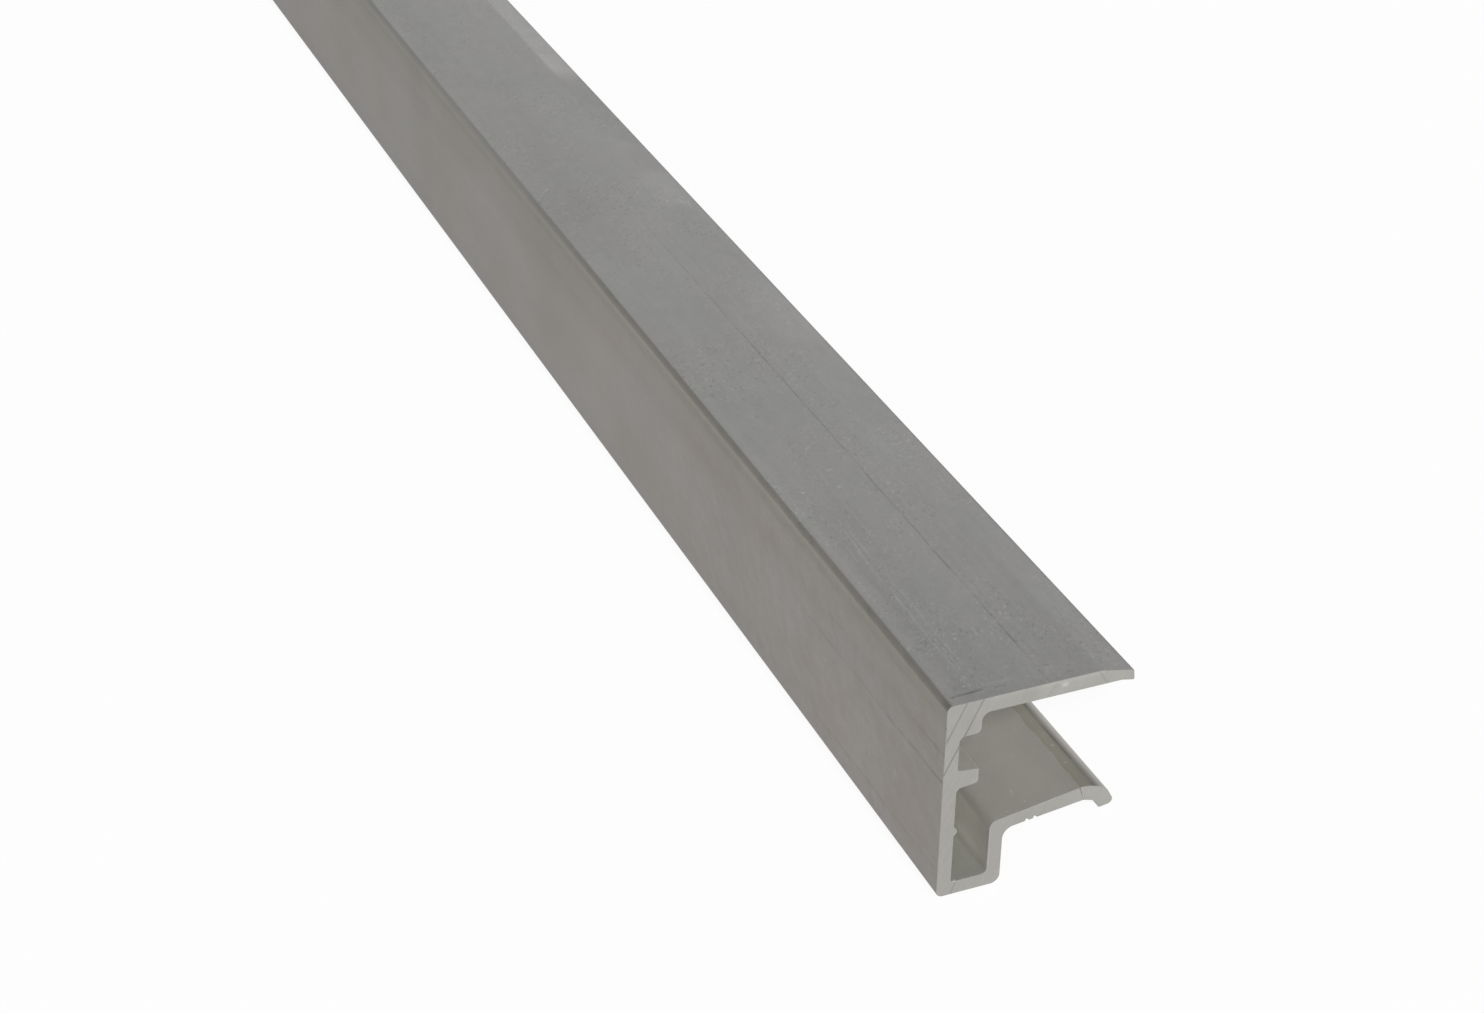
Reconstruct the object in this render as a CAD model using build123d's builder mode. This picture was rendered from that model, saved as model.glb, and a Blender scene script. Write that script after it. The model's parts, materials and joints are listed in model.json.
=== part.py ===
from build123d import *
import os
from math import asin, atan2, cos, degrees, radians, sin, tan

# Aluminium edge profile for 16 mm multiwall sheet: one sawn length of extruded bar, in millimetres.
# The section is drawn upright, X across from the outer face of the web and Y up from the underside of the trough.
# The bar lies along Y, tilted over onto the trough's corner and the hook, as it comes to rest on a level floor.

# Stock length
bar_length = 1000.0

# Web, the tall wall that covers the cut edge of the sheet
profile_height = 30.0
web_wall = 2.0
web_corner_radius = 0.9

# Top flange, flat outside, thinned and turned down to a lip at its free edge
top_wall = 2.2
top_reach = 24.7
lip_length = 1.9
lip_wall = 1.5
lip_slope = 12.5
lip_bend_radius = 1.6
nose_slope = 97.0
nose_radius = 0.25

# Stops on the inner face of the web, which hold the sheet off it: one in the corner, one a free rib,
# which narrows by its taper on both sides towards its tip
stop_proud = 3.0
corner_stop_height = 2.95
stop_gap = 5.15
rib_height = 2.85
rib_taper = 6.0
stop_radius = 0.8
corner_stop_root_radius = 1.2
rib_upper_root_radius = 0.3
rib_upper_radius = 0.25
rib_lower_radius = 0.45

# Trough along the foot of the web, open upwards
trough_width = 5.1
trough_depth = 8.1
trough_floor = 2.0
trough_wall = 2.0
trough_web_root_radius = 0.4
trough_wall_root_radius = 0.75
trough_corner_radius = 1.3
knee_radius = 1.2
knee_root_radius = 1.7

# Fine bead on the inner face of the web, level with the mouth of the trough
bead_radius = 0.7
bead_proud = 0.45

# Lower flange, springing up from the trough to a crest that presses on the sheet
flange_root_wall = 1.9
flange_slope = 8.6
crest_reach = 20.9
crest_radius = 4.0

# Hook, the free edge of the lower flange, of even wall and bent over in two steps
hook_wall = 2.2
shoulder_slope = -18.0
shoulder_length = 3.15
shoulder_radius = 2.6
hook_slope = -62.0
hook_length = 3.15
hook_inner_length = 1.5
hook_root_radius = 1.0
hook_tip_radius = 0.7
hook_edge_radius = 0.2


def step(start, length, slope):
    """Point at a length from the start, in a direction given in degrees above level."""
    return start + Vector(length, 0).rotate(Axis.Z, slope)


def inner_corner(corner, slope_before, slope_after, wall):
    """Inner corner of an even wall whose outer face bends at the given corner."""
    mean_slope = (slope_before + slope_after) / 2
    half_turn = radians(slope_before - slope_after) / 2
    return step(corner, -wall / cos(half_turn), mean_slope + 90)


# Levels and reaches of the section
underside = profile_height - top_wall
stop_reach = web_wall + stop_proud
corner_stop_bottom = underside - corner_stop_height
rib_top = corner_stop_bottom - stop_gap
rib_bottom = rib_top - rib_height
rib_draft = stop_proud * tan(radians(rib_taper))
trough_inner = web_wall + trough_width
trough_outer = trough_inner + trough_wall
knee_level = trough_floor + trough_depth

# Lip
lip_root = Vector(top_reach, underside)
nose_lower = step(lip_root, lip_length, -lip_slope)
nose_length = lip_wall / sin(radians(nose_slope + lip_slope))
nose_upper = step(nose_lower, nose_length, nose_slope)
lip_thinning = top_wall - lip_wall / cos(radians(lip_slope))
lip_bend = Vector(top_reach - lip_thinning / tan(radians(lip_slope)), profile_height)

# Lower flange and hook
flange_rise = tan(radians(flange_slope))
crest = Vector(crest_reach, knee_level + (crest_reach - trough_inner) * flange_rise)
shoulder = step(crest, shoulder_length, shoulder_slope)
hook_tip = step(shoulder, hook_length, hook_slope)
crest_inner = inner_corner(crest, flange_slope, shoulder_slope, hook_wall)
hook_root = inner_corner(shoulder, shoulder_slope, hook_slope, hook_wall)
hook_edge = step(hook_root, hook_inner_length, hook_slope)
knee_root = Vector(trough_outer, knee_level + trough_wall * flange_rise - flange_root_wall)

# Outline of the section, clockwise from the foot of the web, each corner with its rounding
corners = [
    ((0, 0), web_corner_radius),
    ((0, profile_height), web_corner_radius),
    (lip_bend, lip_bend_radius),
    (nose_upper, nose_radius),
    (nose_lower, nose_radius),
    (lip_root, lip_bend_radius),
    ((stop_reach, underside), corner_stop_root_radius),
    ((stop_reach, corner_stop_bottom), stop_radius),
    ((web_wall, corner_stop_bottom), stop_radius),
    ((web_wall, rib_top), rib_upper_root_radius),
    ((stop_reach, rib_top - rib_draft), rib_upper_radius),
    ((stop_reach, rib_bottom + rib_draft), rib_lower_radius),
    ((web_wall, rib_bottom), stop_radius),
    ((web_wall, trough_floor), trough_web_root_radius),
    ((trough_inner, trough_floor), trough_wall_root_radius),
    ((trough_inner, knee_level), knee_radius),
    (crest, crest_radius),
    (shoulder, shoulder_radius),
    (hook_tip, hook_tip_radius),
    (hook_edge, hook_edge_radius),
    (hook_root, hook_root_radius),
    (crest_inner, hook_root_radius),
    (knee_root, knee_root_radius),
    ((trough_outer, 0), trough_corner_radius),
]

with BuildSketch() as section:
    with BuildLine():
        FilletPolyline(
            [corner for corner, radius in corners],
            radius=[radius for corner, radius in corners],
            close=True,
        )
    make_face()
    with Locations((web_wall + bead_proud - bead_radius, knee_level)):
        Circle(bead_radius)

# Tilt at rest: the floor touches the rounding of the trough's corner and the rounding of the hook's tip
trough_centre = Vector(trough_outer - trough_corner_radius, trough_corner_radius)
along_hook = (shoulder - hook_tip).normalized()
along_tip = (hook_edge - hook_tip).normalized()
tip_half_angle = radians(along_hook.get_angle(along_tip)) / 2
tip_centre = hook_tip + (along_hook + along_tip).normalized() * (hook_tip_radius / sin(tip_half_angle))
span = tip_centre - trough_centre
rest_tilt = degrees(atan2(span.Y, span.X) - asin((hook_tip_radius - trough_corner_radius) / span.length))

# The tilted section stands on the floor with its width centred over the origin
tilted_box = section.sketch.rotate(Axis.Z, -rest_tilt).bounding_box()
rest_plane = Plane(
    origin=(-tilted_box.center().X, 0, -tilted_box.min.Y),
    x_dir=Vector(1, 0, 0).rotate(Axis.Y, rest_tilt),
    z_dir=(0, -1, 0),
)

with BuildPart() as edge_profile:
    with BuildSketch(rest_plane):
        add(section.sketch)
    extrude(amount=bar_length / 2, both=True)

edge_profile.part.label = "edge_profile"

os.makedirs("parts", exist_ok=True)
export_step(edge_profile.part, "parts/edge_profile.step")
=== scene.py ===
import json
from math import radians

import bpy
from mathutils import Matrix, Vector


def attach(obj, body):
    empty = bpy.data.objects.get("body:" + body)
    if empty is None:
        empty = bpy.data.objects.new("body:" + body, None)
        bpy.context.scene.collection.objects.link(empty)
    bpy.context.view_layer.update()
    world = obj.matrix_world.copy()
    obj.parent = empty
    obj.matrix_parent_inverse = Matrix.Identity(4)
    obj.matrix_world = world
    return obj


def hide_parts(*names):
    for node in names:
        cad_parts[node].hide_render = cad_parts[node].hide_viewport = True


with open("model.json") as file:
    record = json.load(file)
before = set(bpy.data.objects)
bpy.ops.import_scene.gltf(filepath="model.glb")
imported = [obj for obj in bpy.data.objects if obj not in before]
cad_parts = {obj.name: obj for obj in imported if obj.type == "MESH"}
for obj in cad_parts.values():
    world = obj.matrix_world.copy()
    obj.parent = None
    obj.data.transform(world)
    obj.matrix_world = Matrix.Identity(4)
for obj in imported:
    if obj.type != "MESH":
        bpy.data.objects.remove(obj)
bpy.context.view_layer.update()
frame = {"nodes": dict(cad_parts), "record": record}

# Aluminium edge profile: a sawn length of extruded bar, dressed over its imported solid.
# Places on the bar are in millimetres from the top outer corner of the near end:
# across from the outer face of the web, along from the near end, and up from the top face.

MM = 0.001
BAR_NODE = "edge_profile"


def mount(name):
    """Place and outward direction of one of the record's mounts."""
    row = next(row for row in frame["record"]["mounts"] if row["name"] == name)
    return Vector(row["pos_m"]), Vector(row["axis"]).normalized()


WEB_PLACE, WEB_OUT = mount("web_face")
TOP_PLACE, UP = mount("top_face")
NEAR_PLACE = mount("near_end")[0]
FAR_PLACE, ALONG = mount("far_end")
ACROSS = -WEB_OUT
CORNER = ACROSS * ACROSS.dot(WEB_PLACE) + UP * UP.dot(TOP_PLACE) + ALONG * ALONG.dot(NEAR_PLACE)
BAR_AXES = Matrix((ACROSS, ALONG, UP))
NEAR_END = 0.0
FAR_END = ALONG.dot(FAR_PLACE - NEAR_PLACE) / MM

# Camera of the photograph: its place in bar millimetres, its turn in degrees and its lens in millimetres
EYE = (-133.8, -248.0, 199.5)
LOOK_ASIDE = 23.117
LOOK_DOWN = 31.347
LOOK_ROLL = 0.836
LENS = 67.69


def bar_point(across, along, up):
    """A place on the bar, in the metres of the frame."""
    return CORNER + BAR_AXES.transposed() @ Vector((across, along, up)) * MM


def aimed(aside, down, roll=0.0):
    """Turn, in degrees, that looks along the bar and then aside to the right, down and rolled."""
    turn = (
        Matrix.Rotation(radians(-aside), 3, "Z")
        @ Matrix.Rotation(radians(90 - down), 3, "X")
        @ Matrix.Rotation(radians(roll), 3, "Z")
    )
    return (BAR_AXES.transposed() @ turn).to_euler()


def add_camera():
    """Camera at the photograph's viewing angle."""
    camera = bpy.data.objects.new("photograph_camera", bpy.data.cameras.new("photograph_camera"))
    bpy.context.scene.collection.objects.link(camera)
    camera.location = bar_point(*EYE)
    camera.rotation_euler = aimed(LOOK_ASIDE, LOOK_DOWN, LOOK_ROLL)
    camera.data.lens = LENS
    bpy.context.scene.camera = camera


def add_node(tree, kind, inputs=(), **settings):
    """A shader node with its settings, and its inputs linked to an output or set to a value."""
    node = tree.nodes.new(kind)
    for name, value in settings.items():
        setattr(node, name, value)
    for name, value in dict(inputs).items():
        if isinstance(value, bpy.types.NodeSocket):
            tree.links.new(value, node.inputs[name])
        else:
            node.inputs[name].default_value = value
    return node


def sum_of(tree, operation, *values):
    """Output of a math node."""
    return add_node(tree, "ShaderNodeMath", enumerate(values), operation=operation).outputs[0]


def product(tree, first, second):
    """Product of two numbers."""
    return sum_of(tree, "MULTIPLY", first, second)


def vector_sum(tree, operation, *values):
    """Vector output of a vector math node."""
    return add_node(tree, "ShaderNodeVectorMath", enumerate(values), operation=operation).outputs["Vector"]


def vector_measure(tree, operation, *values):
    """Number output of a vector math node."""
    return add_node(tree, "ShaderNodeVectorMath", enumerate(values), operation=operation).outputs["Value"]


def between(tree, value, start, end, low=0.0, high=1.0):
    """A smooth change from low to high as the value goes from start to end."""
    inputs = {"Value": value, "From Min": start, "From Max": end, "To Min": low, "To Max": high}
    settings = {"interpolation_type": "SMOOTHSTEP", "clamp": False}
    return add_node(tree, "ShaderNodeMapRange", inputs, **settings).outputs["Result"]


def mixed(tree, share, first, second):
    """First colour turned into the second by a share from 0 to 1."""
    node = add_node(tree, "ShaderNodeMix", data_type="RGBA")
    for name, value in (("Factor_Float", share), ("A_Color", first), ("B_Color", second)):
        socket = next(one for one in node.inputs if one.identifier == name)
        if isinstance(value, bpy.types.NodeSocket):
            tree.links.new(value, socket)
        else:
            socket.default_value = (*value, 1.0) if isinstance(value, tuple) else value
    return next(one for one in node.outputs if one.identifier == "Result_Color")


def new_group(name, inputs, outputs):
    """An empty shader node group, with its input sockets and its output node."""
    tree = bpy.data.node_groups.new(name, "ShaderNodeTree")
    for way, sockets in (("INPUT", inputs), ("OUTPUT", outputs)):
        for label, kind in sockets:
            tree.interface.new_socket(label, in_out=way, socket_type=f"NodeSocket{kind}")
    return tree, tree.nodes.new("NodeGroupInput").outputs, tree.nodes.new("NodeGroupOutput").inputs


def use_group(tree, group, **inputs):
    """A node group placed in a material, with its inputs given by name."""
    node = tree.nodes.new("ShaderNodeGroup")
    node.node_tree = group
    for name, value in inputs.items():
        socket = node.inputs[name.replace("_", " ")]
        if isinstance(value, bpy.types.NodeSocket):
            tree.links.new(value, socket)
        else:
            socket.default_value = value
    return node.outputs


def place_group():
    """Place on the bar in millimetres: across, along and up as X, Y and Z."""
    tree, _, result = new_group("place on the bar", (), (("Place", "Vector"),))
    coordinates = add_node(tree, "ShaderNodeTexCoord").outputs["Object"]
    mapping = {
        "Vector": coordinates,
        "Location": -(BAR_AXES @ CORNER) / MM,
        "Rotation": BAR_AXES.to_euler(),
        "Scale": (1 / MM, 1 / MM, 1 / MM),
    }
    place = add_node(tree, "ShaderNodeMapping", mapping, vector_type="POINT").outputs["Vector"]
    tree.links.new(place, result["Place"])
    return tree


# Part of the noise's range that is spread over an uneven tone from -1 to 1
NOISE_RANGE = (0.25, 0.75)


def streak_group():
    """Uneven tone about zero, stretched by a count of features per millimetre each way."""
    sockets = (("Place", "Vector"), ("Per Millimetre", "Vector"), ("Offset", "Vector"), ("Detail", "Float"))
    tree, given, result = new_group("uneven tone", sockets, (("Tone", "Float"),))
    mapping = {"Vector": given["Place"], "Scale": given["Per Millimetre"], "Location": given["Offset"]}
    place = add_node(tree, "ShaderNodeMapping", mapping).outputs["Vector"]
    noise = add_node(tree, "ShaderNodeTexNoise", {"Vector": place, "Scale": 1.0, "Detail": given["Detail"]})
    spread = {"From Min": NOISE_RANGE[0], "From Max": NOISE_RANGE[1], "To Min": -1.0, "To Max": 1.0}
    tone = add_node(tree, "ShaderNodeMapRange", {"Value": noise.outputs["Fac"], **spread}, clamp=False)
    tree.links.new(tone.outputs["Result"], result["Tone"])
    return tree


def mark_group():
    """A straight mark between two places: its mask, and the share of the way along it."""
    sockets = (("Place", "Vector"), ("Start", "Vector"), ("End", "Vector"), ("Half Width", "Float"))
    tree, given, result = new_group("straight mark", sockets, (("Mask", "Float"), ("Way", "Float")))
    offset = vector_sum(tree, "SUBTRACT", given["Place"], given["Start"])
    run = vector_sum(tree, "SUBTRACT", given["End"], given["Start"])
    ahead = vector_measure(tree, "DOT_PRODUCT", offset, run)
    length = vector_measure(tree, "DOT_PRODUCT", run, run)
    way = add_node(tree, "ShaderNodeClamp", {"Value": sum_of(tree, "DIVIDE", ahead, length)}).outputs[0]
    scaled = add_node(tree, "ShaderNodeVectorMath", {"Vector": run, "Scale": way}, operation="SCALE")
    gap = vector_measure(tree, "DISTANCE", offset, scaled.outputs["Vector"])
    tree.links.new(between(tree, gap, 0.0, given["Half Width"], 1.0, 0.0), result["Mask"])
    tree.links.new(way, result["Way"])
    return tree


def new_material(name):
    """A material with its node tree and its shader."""
    material = bpy.data.materials.new(name)
    material.use_nodes = True
    return material, material.node_tree, material.node_tree.nodes["Principled BSDF"]


def tone_of(tree, *parts):
    """One plus each tone times its strength."""
    total = 1.0
    for tone, strength in parts:
        total = sum_of(tree, "MULTIPLY_ADD", tone, strength, total)
    return total


def toned(tree, colour, tone):
    """A colour made lighter or darker by a tone about one."""
    scaled = add_node(tree, "ShaderNodeVectorMath", {0: colour, "Scale": tone}, operation="SCALE")
    return scaled.outputs["Vector"]


def uneven(tree, groups, place, noise):
    """Uneven tone about zero, from its features per millimetre each way, its offset and its detail."""
    per_millimetre, offset, detail = noise
    values = {"Place": place, "Per_Millimetre": per_millimetre, "Offset": offset, "Detail": detail}
    return use_group(tree, groups["uneven"], **values)["Tone"]


def add_relief(tree, shader, height, strength):
    """Fine relief of a face, from its height."""
    relief = {"Height": height, "Strength": strength, "Distance": RELIEF_DEPTH * MM}
    tree.links.new(add_node(tree, "ShaderNodeBump", relief).outputs["Normal"], shader.inputs["Normal"])


# Colours of the metal, with painted light and shade in some, as noted
TOP_GREY = (0.344, 0.345, 0.333)
TOP_PINK = (0.353, 0.342, 0.334)
# Painted shade and a painted brown reflection: the next three colours of the web are darker and browner
# than the top's
WEB_BROWN = (0.248, 0.223, 0.196)
WEB_COOL = (0.244, 0.228, 0.215)
WEB_OLIVE = (0.243, 0.226, 0.192)
# Painted light: the next three colours make the inner faces, the trough wall and the trough floor lighter
# than the outer skin, so that they render as bright as it in their shade
INNER_LIT_GREY = (0.455, 0.438, 0.402)
TROUGH_LIT_GREY = (0.755, 0.736, 0.672)
TROUGH_FLOOR_LIT_GREY = (0.406, 0.407, 0.369)
# Painted dark reflection on the rounding between web and top: the next two colours, the first near the cut
# and the second far along the bar
ROUNDING_SHADE_NEAR = (0.257, 0.245, 0.217)
ROUNDING_SHADE_FAR = (0.34, 0.335, 0.317)
# Painted shade: a dark band along the crest of the lower flange
CREST_SHADE = (0.352, 0.332, 0.277)
SAWN_GREY = (0.325, 0.317, 0.296)
SAWN_CREAM = (0.43, 0.42, 0.378)

# Bands along the bar, in millimetres across, along or up, from where each starts to where it is full:
# the web's outer skin, the inner faces, the trough, the rounding between web and top, the crest of the
# lower flange, the lip and its nose, and the web's far part
WEB_SKIN = (0.75, 0.45)
INNER_FACES = (-1.3, -1.7)
TROUGH_MOUTH = (-20.4, -21.4)
TROUGH_FOOT = (-28.1, -26.2)
TROUGH_SIDE = (7.5, 7.2)
TROUGH_DEPTH = (-3.0, 8.0)
TROUGH_FLOOR = (-27.3, -27.8)
ROUNDING_ACROSS = (0.72, 0.55)
ROUNDING_UP = (-0.72, -0.55)
ROUNDING_SHARE = 0.9
ROUNDING_CHANGE = (100.0, 190.0)
CREST_START = (20.05, 20.25)
CREST_END = (23.0, 22.4)
CREST_WANDER = 0.3
LIP_START = (21.5, 21.9)
NOSE_START = (25.9, 26.3)
FAR_WEB = (60.0, 200.0)

# Slow changes of tone: where each starts and ends, in millimetres across, along or up, and its tone there
END_TONE = (0.0, 60.0, -0.09, 0.0)
SIDE_TONE = (6.0, 15.0, -0.02, 0.01)
# Painted light: the hollow darker at its mouth and lighter deeper in, where the top flange shades it
HOLLOW_LIGHT_TONE = (0.0, 14.0, -0.045, 0.02)
WEB_TOP_TONE = (-1.0, -11.0, -0.012, 0.012)
WEB_FOOT_TONE = (-14.0, -22.0, 0.0, -0.035)
WEB_ALONG_TONE = (0.0, 300.0, 0.0, -0.125)
FAR_WEB_TONE = (-13.0, -3.0, 0.0, -0.04)
# Painted shade: the lip darkened where its slope catches more of the lamp
LIP_SHADE_TONE = (15.0, 45.0, -0.1, -0.16)
# Painted highlight: a bright reflection on the lip from about 205 mm along
FAR_LIP_HIGHLIGHT = (203.0, 209.0, 0.0, 0.22)
FLANGE_TONE = (15.8, 20.2, 0.0, -0.1)
# Painted shade: the crest of the lower flange darker towards the hook
HOOK_SHADE_TONE = (20.2, 22.1, 0.0, -0.3)
# Painted highlight: a lighter strip on the hook's outer rim
HOOK_RIM_HIGHLIGHT = (22.4, 23.5, 0.0, 0.28)
# Painted shade: the lip's nose darkened to a dark outline
NOSE_SHADE_TONE = -0.25

# Hue of the web, in the same terms: browner above, cooler at its foot, and olive under the rounding
WEB_TOP_HUE = (-12.0, -5.0, 0.0, -0.35)
WEB_FOOT_HUE = (-25.0, -28.5, 0.0, 0.55)
OLIVE_STRIP = (-5.5, -2.5, 0.0, 0.75)

# Uneven tones of the skin: features per millimetre across, along and up, offset in the noise, and detail
CREST_NOISE = ((0.0, 0.3, 0.0), (8.0, 3.0, 1.0), 3.0)
WEAR_NOISE = ((0.11, 0.05, 0.11), (6.0, 2.0, 9.0), 2.0)
DIE_LINE_NOISE = ((1.0, 0.006, 1.0), (3.0, 1.0, 5.0), 2.0)
GRAIN_NOISE = ((1.9, 1.1, 1.9), (0.0, 0.0, 0.0), 3.0)
LIGHT_SCUFF_NOISE = ((2.0, 0.6, 2.0), (11.0, 4.0, 2.0), 1.0)
DARK_SCUFF_NOISE = ((2.2, 0.7, 2.2), (3.0, 12.0, 9.0), 1.0)
MOTTLE_NOISE = ((0.45, 0.2, 0.45), (5.0, 3.0, 1.0), 3.0)
BLOTCH_NOISE = ((0.12, 0.03, 0.12), (7.0, 2.0, 4.0), 2.0)
TARNISH_NOISE = ((0.08, 0.045, 0.05), (1.0, 9.0, 6.0), 3.0)
WANDER_NOISE = ((0.0, 0.11, 0.0), (4.0, 2.0, 8.0), 2.0)
SHOWN_NOISE = ((0.1, 0.3, 0.1), (2.0, 6.0, 3.0), 2.0)

# Uneven tones of the sawn faces, in the same terms
TEETH_NOISE = ((0.12, 0.2, 3.0), (2.0, 0.0, 1.0), 3.0)
SAWN_GRAIN_NOISE = ((3.5, 3.5, 3.5), (0.0, 0.0, 0.0), 3.0)
SAWN_BLOTCH_NOISE = ((0.2, 0.2, 0.2), (0.0, 0.0, 0.0), 2.0)

# Strength of each uneven tone in the skin and in the sawn faces
DIE_LINE_STRENGTH = 0.02
GRAIN_STRENGTH = 0.06
SCUFF_STRENGTH = 0.14
MOTTLE_STRENGTH = 0.035
WEB_MOTTLE_STRENGTH = 0.03
BLOTCH_STRENGTH = 0.035
TEETH_STRENGTH = 0.05
SAWN_GRAIN_STRENGTH = 0.05
SAWN_BLOTCH_STRENGTH = 0.04

# Wear of the skin, from its noise, less of it in the hollow and on the web, and least on the web's far part
WEAR = (-0.4, 0.5, 0.4, 1.3)
HOLLOW_WEAR = -0.75
WEB_WEAR = (30.0, 110.0, -0.3, -0.7)

# The web's far part is calmer, with less mottle and more tarnish: change along it, and strength
WEB_CALM = (50.0, 130.0, 0.0, -0.8)
WEB_TARNISH = (50.0, 130.0, 0.014, 0.045)

# Ranges of uneven tone in which scuffs stand out, the skin changes its hue, and marks come and go
SCUFF_RANGE = (0.45, 0.95)
HUE_RANGE = (-0.6, 0.6)
HUE_MOTTLE = 0.5
MARKS_SHOWN = (-0.5, 0.4, 0.45, 1.0)

# Gloss and relief, the relief's depth in millimetres
METALLIC = 0.45
SKIN_ROUGHNESS = 0.45
GRAIN_ROUGHNESS = 0.05
SKIN_RELIEF = 0.2
DIE_LINE_RELIEF = 0.25
SAWN_ROUGHNESS = 0.5
SAWN_RELIEF = 0.25
RELIEF_DEPTH = 0.02

# Marks along the skin, which come and go: start, end, half width, and strength at both ends,
# which is below zero where the mark is dark
LONG_MARKS = (
    ((14.4, 0.0, 0.0), (14.4, 9.6, 0.0), 0.22, -0.1, -0.14),
    ((14.4, 9.8, 0.0), (14.4, 17.0, 0.0), 0.25, -0.36, -0.34),
    ((14.4, 17.2, 0.0), (14.4, 105.0, 0.0), 0.24, -0.32, -0.26),
    ((14.4, 105.2, 0.0), (14.4, 144.0, 0.0), 0.24, -0.28, -0.08),
    ((4.6, 4.0, 0.0), (4.65, 25.0, 0.0), 0.26, 0.14, 0.32),
    ((4.7, 29.0, 0.0), (4.8, 37.0, 0.0), 0.26, 0.2, 0.18),
    ((5.2, 7.0, 0.0), (5.3, 18.0, 0.0), 0.2, 0.16, 0.1),
    ((5.9, 8.0, 0.0), (5.8, 42.0, 0.0), 0.25, 0.16, 0.16),
    ((4.9, 32.0, 0.0), (5.3, 43.0, 0.0), 0.2, 0.18, 0.18),
    ((3.7, 30.0, 0.0), (3.8, 48.0, 0.0), 0.2, 0.14, 0.08),
    ((8.1, 40.0, 0.0), (8.4, 66.0, 0.0), 0.2, 0.12, 0.08),
    ((0.0, 0.0, -11.7), (0.0, 16.0, -12.0), 0.34, -0.34, -0.22),
    ((0.0, 16.0, -12.0), (0.0, 44.0, -12.1), 0.3, -0.2, -0.14),
    ((0.0, 0.0, -7.5), (0.0, 9.0, -7.7), 0.4, -0.18, -0.14),
    ((0.0, 31.0, -7.6), (0.0, 35.0, -7.7), 0.4, -0.14, -0.14),
    ((0.0, 1.0, -25.8), (0.0, 38.0, -26.3), 0.4, -0.18, -0.14),
    ((0.0, 0.0, -2.5), (0.0, 1000.0, -2.5), 0.8, -0.11, -0.09),
    # Painted shade: the next mark is the darkest line of the band along the crest of the lower flange
    ((22.1, 0.0, -18.2), (22.1, 1000.0, -18.2), 0.5, -0.5, -0.5),
)
MARK_WANDER = 0.2

# Slant of the scuffs in the skin, which run along the bar and away from its top outer edge
SCUFF_TURN = (radians(-33), 0.0, radians(27))

# Marks across the skin by the cut, in the same terms
CROSS_MARKS = (
    ((1.2, 1.75, 0.0), (3.9, 1.85, 0.0), 0.36, -0.2, -0.42),
    ((4.2, 1.87, 0.0), (5.6, 1.95, 0.0), 0.36, -0.44, -0.25),
    ((7.4, 1.8, 0.0), (8.9, 1.8, 0.0), 0.28, -0.1, -0.2),
    ((6.2, 2.9, 0.0), (10.4, 2.6, 0.0), 0.5, 0.1, 0.08),
    ((0.8, 0.5, 0.0), (22.0, 0.5, 0.0), 1.6, -0.04, -0.03),
    ((12.0, 3.3, -19.16), (12.3, 4.4, -19.1), 0.2, 0.2, 0.2),
    # Painted shadow: the next mark, a dark line on the trough wall by the cut
    ((7.1, 0.35, -21.3), (7.1, 0.35, -26.8), 0.35, -0.08, -0.08),
)

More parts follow.
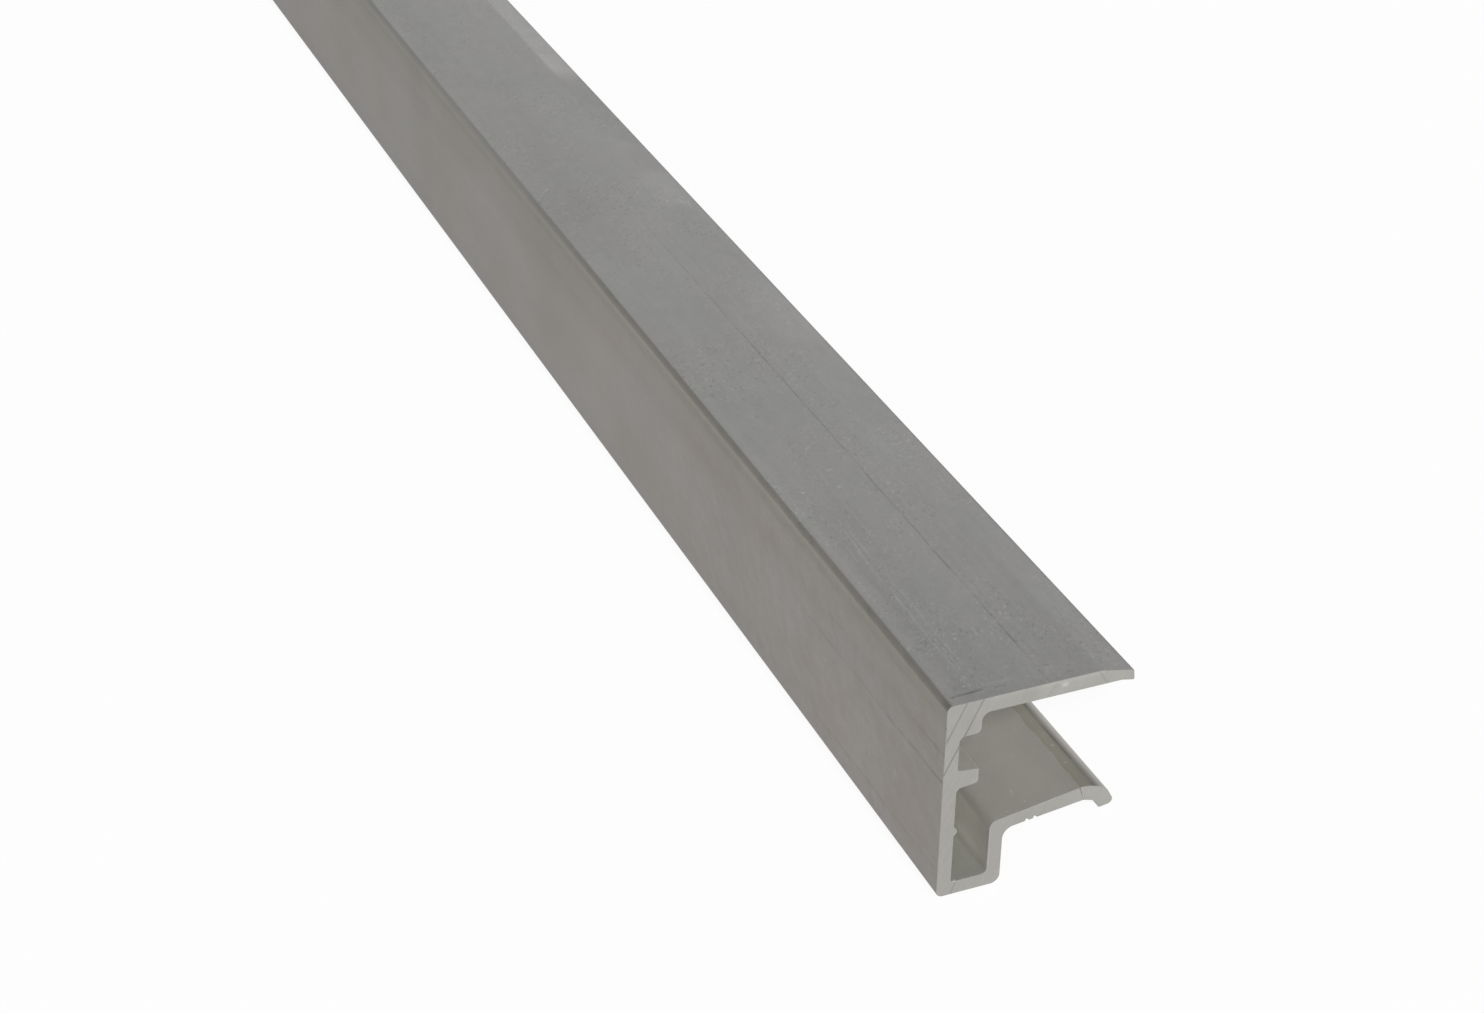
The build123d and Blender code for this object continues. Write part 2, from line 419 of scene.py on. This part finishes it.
# Soft patches of the skin, in the same terms; some are painted light and shade, as noted
SKIN_PATCHES = (
    ((1.4, 0.0, 0.0), (1.4, 90.0, 0.0), 1.7, 0.09, 0.03),
    ((3.7, 3.0, 0.0), (3.7, 45.0, 0.0), 0.9, -0.04, -0.03),
    ((0.0, 0.0, -1.1), (0.0, 300.0, -1.1), 0.8, 0.12, 0.06),
    ((0.0, 300.8, -1.1), (0.0, 1000.0, -1.1), 0.8, 0.06, 0.06),
    ((0.0, 0.0, -1.6), (0.0, 1000.0, -1.6), 0.8, -0.07, -0.07),
    ((0.0, 48.0, -4.2), (0.0, 130.0, -4.2), 1.6, 0.03, 0.02),
    ((0.0, 0.0, -8.2), (0.0, 1000.0, -8.2), 2.8, -0.045, -0.045),
    ((0.0, 22.0, -20.0), (0.0, 33.0, -22.0), 10.0, 0.055, 0.05),
    ((0.25, 0.0, -0.25), (0.25, 1.8, -0.25), 0.7, -0.22, -0.08),
    ((6.0, 150.0, 0.0), (7.0, 190.0, 0.0), 9.0, -0.03, -0.03),
    # Painted shade: the next three patches darken the trough's knee, the foot of its wall and the rib's
    # rounded edge
    ((7.4, 0.0, -20.2), (7.4, 1000.0, -20.2), 0.7, -0.08, -0.08),
    ((6.9, 0.0, -27.7), (6.9, 1000.0, -27.7), 0.7, -0.04, -0.04),
    ((4.9, 0.0, -10.5), (4.9, 1000.0, -10.5), 0.4, -0.08, -0.08),
    ((0.0, 4.0, -12.0), (0.0, 8.0, -14.0), 6.0, -0.04, -0.04),
    ((0.0, 0.0, -28.0), (0.0, 240.0, -28.0), 3.6, -0.015, -0.08),
    ((0.0, 243.6, -28.0), (0.0, 1000.0, -28.0), 3.6, -0.08, -0.08),
    # Painted reflections: the next four patches lighten and darken the lip far along the bar
    ((24.0, 99.0, -0.5), (24.0, 116.0, -0.5), 7.0, 0.11, 0.07),
    ((23.5, 149.0, -0.3), (23.5, 158.0, -0.3), 5.5, 0.15, 0.14),
    ((24.0, 178.0, -0.4), (24.0, 199.0, -0.4), 5.0, -0.06, -0.06),
    ((23.0, 211.0, -0.3), (23.0, 215.0, -0.3), 4.0, 0.1, 0.08),
    # Painted reflections: the next five patches are lighter and darker bands up the web
    ((0.0, 88.0, -11.0), (0.0, 91.0, -16.0), 8.0, 0.04, 0.04),
    ((0.0, 125.0, -9.0), (0.0, 125.0, -22.0), 11.0, 0.05, 0.05),
    ((0.0, 70.0, -4.0), (0.0, 68.0, -24.0), 8.0, -0.04, -0.02),
    ((0.0, 150.0, -4.0), (0.0, 152.0, -24.0), 13.0, -0.04, -0.03),
    ((0.0, 224.0, -4.0), (0.0, 221.0, -25.0), 9.0, -0.06, -0.05),
)

# Bright specks in the skin: place, radius and strength
SKIN_SPECKS = (
    ((3.8, 3.35, 0.0), 0.25, 0.5),
    ((7.5, 13.3, 0.0), 0.3, 0.5),
    ((15.5, 3.4, 0.0), 0.2, 0.3),
    ((13.9, 17.5, 0.0), 0.2, 0.3),
    ((16.0, 20.2, 0.0), 0.25, 0.25),
    ((4.0, 53.5, 0.0), 0.3, 0.45),
    ((9.3, 53.2, 0.0), 0.35, 0.4),
    ((10.1, 57.9, 0.0), 0.25, 0.35),
    ((13.3, 60.2, 0.0), 0.25, 0.2),
    ((5.8, 75.8, 0.0), 0.25, 0.2),
    ((12.6, 80.8, 0.0), 0.3, 0.2),
    ((4.4, 81.5, 0.0), 0.3, 0.18),
    ((4.5, 92.3, 0.0), 0.3, 0.18),
    ((20.8, 5.6, -17.95), 0.22, 0.5),
    ((21.05, 9.6, -17.95), 0.26, 0.55),
    ((21.2, 12.4, -17.98), 0.2, 0.3),
    ((9.9, 0.8, -19.5), 0.22, 0.25),
    ((12.7, 1.4, -19.05), 0.25, 0.25),
    ((2.5, 0.15, -28.0), 0.3, 0.7),
    ((3.8, 0.1, -28.0), 0.18, 0.35),
    ((4.95, 0.1, -28.0), 0.18, 0.35),
)

# Lines left on the sawn ends by the teeth, and a painted highlight on the trough wall's rim: start and end
# across and up, half width, and strength
NEAR_LINES = (
    ((2.7, -0.1), (0.2, -5.3), 0.22, -0.24),
    ((5.1, 0.0), (0.0, -10.5), 0.22, -0.38),
    ((20.05, -18.0), (20.85, -20.0), 0.28, -0.45),
    ((15.2, -0.4), (14.3, -1.9), 0.22, -0.14),
    ((21.4, -0.2), (22.4, -1.8), 0.25, -0.16),
    ((15.3, -18.8), (14.4, -20.6), 0.2, -0.06),
    ((2.65, -28.2), (2.05, -29.8), 0.24, -0.2),
    # Painted highlight: the next line lightens the rim of the trough wall's end
    ((7.25, -21.2), (7.25, -26.8), 0.14, 0.12),
)
FAR_LINES = (
    ((3.6, -0.1), (0.1, -7.4), 0.22, -0.3),
    ((11.9, -0.2), (10.9, -2.1), 0.22, -0.2),
    ((18.3, -18.4), (17.3, -20.4), 0.24, -0.3),
    ((1.9, -15.2), (0.1, -19.0), 0.2, -0.16),
)
SAW_SLANT = 64.7
CREAM_PATCH = (16.3, -0.75)
CREAM_RADIUS = 0.6
SWARF_SPECK = (2.45, -27.95)
SWARF_RADIUS = 0.25
SWARF_STRENGTH = 0.9

# Paler and darker parts of the sawn end, in the same terms; the last two are a painted highlight along its
# top rim
SAWN_PARTS = (
    ((14.0, -1.0), (24.0, -1.0), 3.0, 0.062),
    ((20.5, -18.5), (23.5, -20.5), 3.5, 0.08),
    ((1.0, -17.0), (1.0, -27.0), 5.0, -0.034),
    ((3.2, -2.8), (3.4, -4.2), 2.2, -0.04),
    # Painted highlight along the top rim of the near end
    ((6.0, -0.25), (12.0, -0.25), 0.45, 0.05),
    ((12.5, -0.25), (22.0, -0.25), 0.45, 0.09),
)


def marks_tone(tree, groups, place, marks, share=1.0):
    """Tone about one of straight marks, each stronger or weaker towards its end, of which a share shows."""
    total = 1.0
    for start, end, half_width, first, last in marks:
        mark = use_group(tree, groups["mark"], Place=place, Start=start, End=end, Half_Width=half_width)
        strength = sum_of(tree, "MULTIPLY_ADD", mark["Way"], last - first, first)
        total = sum_of(tree, "MULTIPLY_ADD", product(tree, mark["Mask"], share), strength, total)
    return total


def spot(tree, groups, place, centre, radius):
    """Mask of a small blunt spot."""
    beside = (centre[0] + radius / 2, centre[1], centre[2])
    return use_group(tree, groups["mark"], Place=place, Start=centre, End=beside, Half_Width=radius)["Mask"]


def region(tree, *bands):
    """Mask of a region of the section: each band is a value and where its mask starts and is full."""
    mask = 1.0
    for value, (start, full) in bands:
        mask = product(tree, between(tree, value, start, full), mask)
    return mask


def skin_tone(tree, groups, place, tone):
    """Tone of the skin with its marks, patches and specks."""
    wander = uneven(tree, groups, place, WANDER_NOISE)
    aside = add_node(tree, "ShaderNodeCombineXYZ", {0: wander, 2: wander}).outputs[0]
    wandering = vector_sum(tree, "MULTIPLY_ADD", aside, (MARK_WANDER,) * 3, place)
    shown = between(tree, uneven(tree, groups, place, SHOWN_NOISE), *MARKS_SHOWN)
    tone = product(tree, tone, marks_tone(tree, groups, wandering, LONG_MARKS, shown))
    tone = product(tree, tone, marks_tone(tree, groups, place, CROSS_MARKS))
    tone = product(tree, tone, marks_tone(tree, groups, place, SKIN_PATCHES))
    specks = 1.0
    for centre, radius, strength in SKIN_SPECKS:
        speck = spot(tree, groups, place, centre, radius)
        specks = sum_of(tree, "MULTIPLY_ADD", speck, strength, specks)
    return product(tree, tone, specks)


def mill_finish(groups):
    """Skin of the bar as it came out of the die: dull grey, grained in patches, with faint lines, and with
    painted light, shade and reflections where noted.
    """
    material, tree, shader = new_material("mill finish")
    place = use_group(tree, groups["place"])["Place"]
    xyz = add_node(tree, "ShaderNodeSeparateXYZ", {0: place}).outputs
    across, along, up = xyz[0], xyz[1], xyz[2]

    outside = region(tree, (up, INNER_FACES[::-1]))
    inside = region(tree, (up, INNER_FACES))
    web = region(tree, (across, WEB_SKIN))
    hollow = region(tree, (up, INNER_FACES), (across, WEB_SKIN[::-1]))
    trough = region(
        tree, (up, TROUGH_MOUTH), (up, TROUGH_FOOT), (across, TROUGH_SIDE), (along, TROUGH_DEPTH)
    )
    trough_floor = region(tree, (up, TROUGH_FLOOR), (across, TROUGH_SIDE))
    rounding = region(tree, (across, ROUNDING_ACROSS), (up, ROUNDING_UP))
    lip = region(tree, (across, LIP_START), (up, INNER_FACES[::-1]))
    nose = region(tree, (across, NOSE_START))
    crest_noise = uneven(tree, groups, place, CREST_NOISE)
    crest_edge = sum_of(tree, "MULTIPLY_ADD", crest_noise, CREST_WANDER, across)
    crest = region(tree, (crest_edge, CREST_START), (across, CREST_END), (up, INNER_FACES))

    bare = sum_of(tree, "MULTIPLY_ADD", hollow, HOLLOW_WEAR, 1.0)
    worn = between(tree, uneven(tree, groups, place, WEAR_NOISE), *WEAR)
    smoother = product(tree, web, between(tree, along, *WEB_WEAR))
    worn = product(tree, product(tree, worn, bare), sum_of(tree, "ADD", smoother, 1.0))
    die_lines = product(tree, uneven(tree, groups, place, DIE_LINE_NOISE), bare)
    grain = product(tree, uneven(tree, groups, place, GRAIN_NOISE), worn)
    turn = {"Vector": place, "Rotation": SCUFF_TURN}
    slanted = add_node(tree, "ShaderNodeMapping", turn).outputs["Vector"]
    light_noise = uneven(tree, groups, slanted, LIGHT_SCUFF_NOISE)
    light_scuffs = product(tree, between(tree, light_noise, *SCUFF_RANGE), worn)
    dark_noise = uneven(tree, groups, slanted, DARK_SCUFF_NOISE)
    dark_scuffs = product(tree, between(tree, dark_noise, *SCUFF_RANGE), worn)
    mottle = uneven(tree, groups, slanted, MOTTLE_NOISE)
    calmer = product(tree, web, between(tree, along, *WEB_CALM))
    mottle = product(tree, mottle, sum_of(tree, "ADD", calmer, 1.0))
    blotch = uneven(tree, groups, place, BLOTCH_NOISE)
    tarnish = uneven(tree, groups, place, TARNISH_NOISE)
    hue = between(tree, sum_of(tree, "MULTIPLY_ADD", mottle, HUE_MOTTLE, tarnish), *HUE_RANGE)
    web_hue = sum_of(tree, "ADD", hue, between(tree, up, *WEB_TOP_HUE))
    web_hue = sum_of(tree, "ADD", web_hue, between(tree, up, *WEB_FOOT_HUE))

    # Painted light on the inner faces, the trough and its floor
    colour = mixed(tree, inside, mixed(tree, hue, TOP_GREY, TOP_PINK), INNER_LIT_GREY)
    colour = mixed(tree, trough, colour, TROUGH_LIT_GREY)
    colour = mixed(tree, trough_floor, colour, TROUGH_FLOOR_LIT_GREY)
    # Painted shade and brown reflection in the web's colours
    web_colour = mixed(tree, web_hue, WEB_BROWN, WEB_COOL)
    web_colour = mixed(tree, between(tree, up, *OLIVE_STRIP), web_colour, WEB_OLIVE)
    colour = mixed(tree, web, colour, web_colour)
    # Painted shade: dark band along the crest of the lower flange
    colour = mixed(tree, crest, colour, CREST_SHADE)
    # Painted shade on the rounding between web and top, paler far along the bar
    edge = mixed(tree, between(tree, along, *ROUNDING_CHANGE), ROUNDING_SHADE_NEAR, ROUNDING_SHADE_FAR)
    colour = mixed(tree, product(tree, rounding, ROUNDING_SHARE), colour, edge)

    end_tone = product(tree, outside, between(tree, along, *END_TONE))
    side_tone = product(tree, outside, between(tree, across, *SIDE_TONE))
    # Painted light, lighter deeper in the hollow
    hollow_light_tone = product(tree, hollow, between(tree, along, *HOLLOW_LIGHT_TONE))
    web_tone = between(tree, up, *WEB_TOP_TONE)
    web_tone = sum_of(tree, "ADD", web_tone, between(tree, up, *WEB_FOOT_TONE))
    web_tone = sum_of(tree, "ADD", web_tone, between(tree, along, *WEB_ALONG_TONE))
    web_tarnish = product(tree, product(tree, web, tarnish), between(tree, along, *WEB_TARNISH))
    far_web = between(tree, along, *FAR_WEB)
    web_tone = sum_of(tree, "MULTIPLY_ADD", far_web, between(tree, up, *FAR_WEB_TONE), web_tone)
    # Painted shade on the lip, and a painted highlight on its far part
    lip_shade_and_highlight = between(tree, along, *LIP_SHADE_TONE)
    lip_shade_and_highlight = sum_of(tree, "ADD", lip_shade_and_highlight, between(tree, along, *FAR_LIP_HIGHLIGHT))
    flange_tone = product(tree, inside, between(tree, across, *FLANGE_TONE))
    # Painted shade on the crest towards the hook, and a painted highlight on the hook's rim
    hook_shade_and_highlight = between(tree, across, *HOOK_SHADE_TONE)
    hook_shade_and_highlight = sum_of(tree, "ADD", hook_shade_and_highlight, between(tree, across, *HOOK_RIM_HIGHLIGHT))
    tone = tone_of(
        tree,
        (die_lines, DIE_LINE_STRENGTH),
        (grain, GRAIN_STRENGTH),
        (light_scuffs, SCUFF_STRENGTH),
        (dark_scuffs, -SCUFF_STRENGTH),
        (mottle, MOTTLE_STRENGTH),
        (product(tree, web, mottle), WEB_MOTTLE_STRENGTH),
        (web_tarnish, 1.0),
        (blotch, BLOTCH_STRENGTH),
        (end_tone, 1.0),
        (side_tone, 1.0),
        (hollow_light_tone, 1.0),
        (product(tree, web, web_tone), 1.0),
        (product(tree, lip, lip_shade_and_highlight), 1.0),
        (flange_tone, 1.0),
        (product(tree, inside, hook_shade_and_highlight), 1.0),
        # Painted shade on the lip's nose
        (nose, NOSE_SHADE_TONE),
    )
    tone = skin_tone(tree, groups, place, tone)
    tree.links.new(toned(tree, colour, tone), shader.inputs["Base Color"])
    shader.inputs["Metallic"].default_value = METALLIC
    roughness = sum_of(tree, "MULTIPLY_ADD", grain, GRAIN_ROUGHNESS, SKIN_ROUGHNESS)
    tree.links.new(roughness, shader.inputs["Roughness"])
    add_relief(tree, shader, sum_of(tree, "MULTIPLY_ADD", die_lines, DIE_LINE_RELIEF, grain), SKIN_RELIEF)
    return material


def on_end(across_up, along=NEAR_END):
    """A place on a sawn end, from its millimetres across and up."""
    return across_up[0], along, across_up[1]


def end_marks(marks, along):
    """Marks of a sawn end as marks in the metal, of even strength."""
    return [
        (on_end(start, along), on_end(end, along), half_width, strength, strength)
        for start, end, half_width, strength in marks
    ]


def sawn_face(groups):
    """Sawn end of the bar: paler than its skin, with the teeth's lines across it and painted highlights on
    some rims.
    """
    material, tree, shader = new_material("sawn face")
    place = use_group(tree, groups["place"])["Place"]
    turn = {"Vector": place, "Rotation": (0.0, radians(SAW_SLANT), 0.0)}
    slanted = add_node(tree, "ShaderNodeMapping", turn).outputs["Vector"]
    teeth = uneven(tree, groups, slanted, TEETH_NOISE)
    grain = uneven(tree, groups, place, SAWN_GRAIN_NOISE)
    blotch = uneven(tree, groups, place, SAWN_BLOTCH_NOISE)
    tone = tone_of(
        tree, (teeth, TEETH_STRENGTH), (grain, SAWN_GRAIN_STRENGTH), (blotch, SAWN_BLOTCH_STRENGTH)
    )
    marks = end_marks(NEAR_LINES + SAWN_PARTS, NEAR_END) + end_marks(FAR_LINES, FAR_END)
    tone = product(tree, tone, marks_tone(tree, groups, place, marks))
    swarf = spot(tree, groups, place, on_end(SWARF_SPECK), SWARF_RADIUS)
    tone = sum_of(tree, "MULTIPLY_ADD", swarf, SWARF_STRENGTH, tone)
    cream = spot(tree, groups, place, on_end(CREAM_PATCH), CREAM_RADIUS)
    colour = mixed(tree, cream, SAWN_GREY, SAWN_CREAM)
    tree.links.new(toned(tree, colour, tone), shader.inputs["Base Color"])
    shader.inputs["Metallic"].default_value = METALLIC
    shader.inputs["Roughness"].default_value = SAWN_ROUGHNESS
    add_relief(tree, shader, sum_of(tree, "ADD", teeth, grain), SAWN_RELIEF)
    return material


def select_only(piece):
    """Leaves one piece selected and active."""
    bpy.ops.object.select_all(action="DESELECT")
    piece.select_set(True)
    bpy.context.view_layer.objects.active = piece


# Cuts: how far a face of one looks along the bar, and its edges broken by a light stroke of a file
CUT_FACING = 0.3
EDGE_BREAK = 0.08
BREAK_STEPS = 2

# Faces of the bar: gap in millimetres up to which corners are one, and turns in degrees up to which
# faces are one flat face, or one smooth rounding
MERGE_GAP = 0.001
FLAT_ANGLE = 0.1
SMOOTH_ANGLE = 25

# Scores that the saw's teeth left across the ends, as rods sunk into them: start and end across and up,
# and the rods' radius and depth
NEAR_SCORES = (
    ((2.9, 0.4), (-0.2, -6.1)),
    ((5.3, 0.4), (-0.3, -11.3)),
    ((20.0, -17.6), (20.8, -20.0)),
)
FAR_SCORES = (
    ((3.8, 0.4), (-0.2, -8.0)),
    ((18.6, -17.8), (17.0, -21.0)),
)
SCORE_RADIUS = 0.2
SCORE_DEPTH = 0.05
ROD_SIDES = 16

# Chips broken out of the edges of the flange's and the web's near end, as cones: across and up,
# radius before the cut and at the point, and start, depth and fall of the cone
CHIPS = ((12.55, -20.95), (13.7, -20.8), (-0.2, -3.25), (-0.24, -5.4))
CHIP_RADIUS = 0.34
CHIP_POINT = 0.1
CHIP_START = -0.3
CHIP_DEPTH = 1.2
CHIP_FALL = 0.15


def is_cut(normal):
    """True for a face across the bar, or of a cut's broken edge."""
    return abs(normal.dot(ALONG)) > CUT_FACING


def cut_away(bar, cutter):
    """Cuts a shape out of the bar and deletes it."""
    select_only(bar)
    cut = bar.modifiers.new("cut", "BOOLEAN")
    cut.operation = "DIFFERENCE"
    cut.object = cutter
    bpy.ops.object.modifier_apply(modifier=cut.name)
    mesh = cutter.data
    bpy.data.objects.remove(cutter)
    bpy.data.meshes.remove(mesh)


def add_cone(start, end, first_radius, last_radius):
    """A round rod or cone between two places on the bar."""
    run = bar_point(*end) - bar_point(*start)
    bpy.ops.object.select_all(action="DESELECT")
    bpy.ops.mesh.primitive_cone_add(
        vertices=ROD_SIDES,
        radius1=first_radius * MM,
        radius2=last_radius * MM,
        depth=run.length,
        location=(bar_point(*start) + bar_point(*end)) / 2,
        rotation=run.to_track_quat("Z", "Y").to_euler(),
    )
    return bpy.context.object


def score_ends(bar):
    """Sinks the saw's scores into the ends, and breaks the chips out of the edges of the near one."""
    above = SCORE_RADIUS - SCORE_DEPTH
    for scores, level in ((NEAR_SCORES, NEAR_END - above), (FAR_SCORES, FAR_END + above)):
        for start, end in scores:
            rod = add_cone(on_end(start, level), on_end(end, level), SCORE_RADIUS, SCORE_RADIUS)
            cut_away(bar, rod)
    for across, up in CHIPS:
        point = (across, CHIP_DEPTH, up - CHIP_FALL)
        cut_away(bar, add_cone((across, CHIP_START, up), point, CHIP_RADIUS, CHIP_POINT))


def add_bar(mill, sawn):
    """The bar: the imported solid's own faces, with the edges of its cuts broken and its ends scored."""
    node = frame["nodes"][BAR_NODE]
    bar = bpy.data.objects.new("extruded_bar", node.data.copy())
    bpy.context.scene.collection.objects.link(bar)
    select_only(bar)
    bpy.ops.object.mode_set(mode="EDIT")
    bpy.ops.mesh.select_all(action="SELECT")
    bpy.ops.mesh.remove_doubles(threshold=MERGE_GAP * MM)
    bpy.ops.mesh.dissolve_limited(angle_limit=radians(FLAT_ANGLE))
    bpy.ops.mesh.select_mode(type="EDGE")
    bpy.ops.mesh.select_all(action="DESELECT")
    bpy.ops.object.mode_set(mode="OBJECT")
    cut_faces = [face for face in bar.data.polygons if is_cut(face.normal)]
    rims = {key for face in cut_faces for key in face.edge_keys}
    for edge in bar.data.edges:
        edge.select = edge.key in rims
    bpy.ops.object.mode_set(mode="EDIT")
    bpy.ops.mesh.bevel(offset=EDGE_BREAK * MM, segments=BREAK_STEPS, affect="EDGES")
    bpy.ops.object.mode_set(mode="OBJECT")
    score_ends(bar)
    select_only(bar)
    bar.data.materials.clear()
    bar.data.materials.append(mill)
    bar.data.materials.append(sawn)
    for face in bar.data.polygons:
        face.material_index = 1 if is_cut(face.normal) else 0
    bpy.ops.object.shade_smooth_by_angle(angle=radians(SMOOTH_ANGLE))
    flat_faces = bar.modifiers.new("flat faces", "WEIGHTED_NORMAL")
    flat_faces.keep_sharp = True
    bpy.ops.object.modifier_apply(modifier=flat_faces.name)
    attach(bar, "root")
    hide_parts(BAR_NODE)


# Studio: size of the floor in metres, share of it that shows as plain white, levels of the room's light
# and the height where the upper one is reached, and the lamp's aim, spread in degrees and strength
FLOOR_SIZE = 40
FLOOR_COLOUR = (0.94, 0.94, 0.94, 1)
FLOOR_ROUGHNESS = 0.9
FLOOR_WHITE_SHARE = 0.9
HORIZON_LEVEL = 0.75
OVERHEAD_LEVEL = 0.3
OVERHEAD_HEIGHT = 0.6
KEY_ASIDE = 20
KEY_DOWN = 35
KEY_SPREAD = 16
KEY_STRENGTH = 2.8


def add_floor():
    """Pale floor, white to the camera and to reflections, which keeps the bar's shadow."""
    bpy.ops.object.select_all(action="DESELECT")
    bpy.ops.mesh.primitive_plane_add(size=FLOOR_SIZE)
    floor = bpy.context.object
    floor.name = "pale_floor"
    material, tree, shader = new_material("pale floor")
    shader.inputs["Base Color"].default_value = FLOOR_COLOUR
    shader.inputs["Roughness"].default_value = FLOOR_ROUGHNESS
    shader.inputs["Specular IOR Level"].default_value = 0.0
    rays = add_node(tree, "ShaderNodeLightPath").outputs
    seen = sum_of(tree, "MAXIMUM", rays["Is Camera Ray"], rays["Is Glossy Ray"])
    seen = sum_of(tree, "MAXIMUM", seen, rays["Is Transmission Ray"])
    share = product(tree, seen, FLOOR_WHITE_SHARE)
    white = add_node(tree, "ShaderNodeEmission", {"Strength": 1.0}).outputs[0]
    blend = add_node(tree, "ShaderNodeMixShader", {0: share, 1: shader.outputs[0], 2: white}).outputs[0]
    tree.links.new(blend, tree.nodes["Material Output"].inputs["Surface"])
    floor.data.materials.append(material)


def add_light():
    """Soft studio light: a room that is pale low down, and one broad lamp from the camera's side."""
    world = bpy.data.worlds.new("pale studio")
    bpy.context.scene.world = world
    world.use_nodes = True
    tree = world.node_tree
    direction = add_node(tree, "ShaderNodeTexCoord").outputs["Generated"]
    height = add_node(tree, "ShaderNodeSeparateXYZ", {0: direction}).outputs["Z"]
    level = between(tree, height, 0.0, OVERHEAD_HEIGHT, HORIZON_LEVEL, OVERHEAD_LEVEL)
    tree.links.new(level, tree.nodes["Background"].inputs["Color"])
    lamp = bpy.data.objects.new("camera_side_softbox", bpy.data.lights.new("camera_side_softbox", "SUN"))
    bpy.context.scene.collection.objects.link(lamp)
    lamp.rotation_euler = aimed(KEY_ASIDE, KEY_DOWN)
    lamp.data.angle = radians(KEY_SPREAD)
    lamp.data.energy = KEY_STRENGTH


add_camera()
GROUPS = {"place": place_group(), "uneven": streak_group(), "mark": mark_group()}
add_bar(mill_finish(GROUPS), sawn_face(GROUPS))
add_floor()
add_light()
bpy.context.scene.view_settings.view_transform = "Standard"
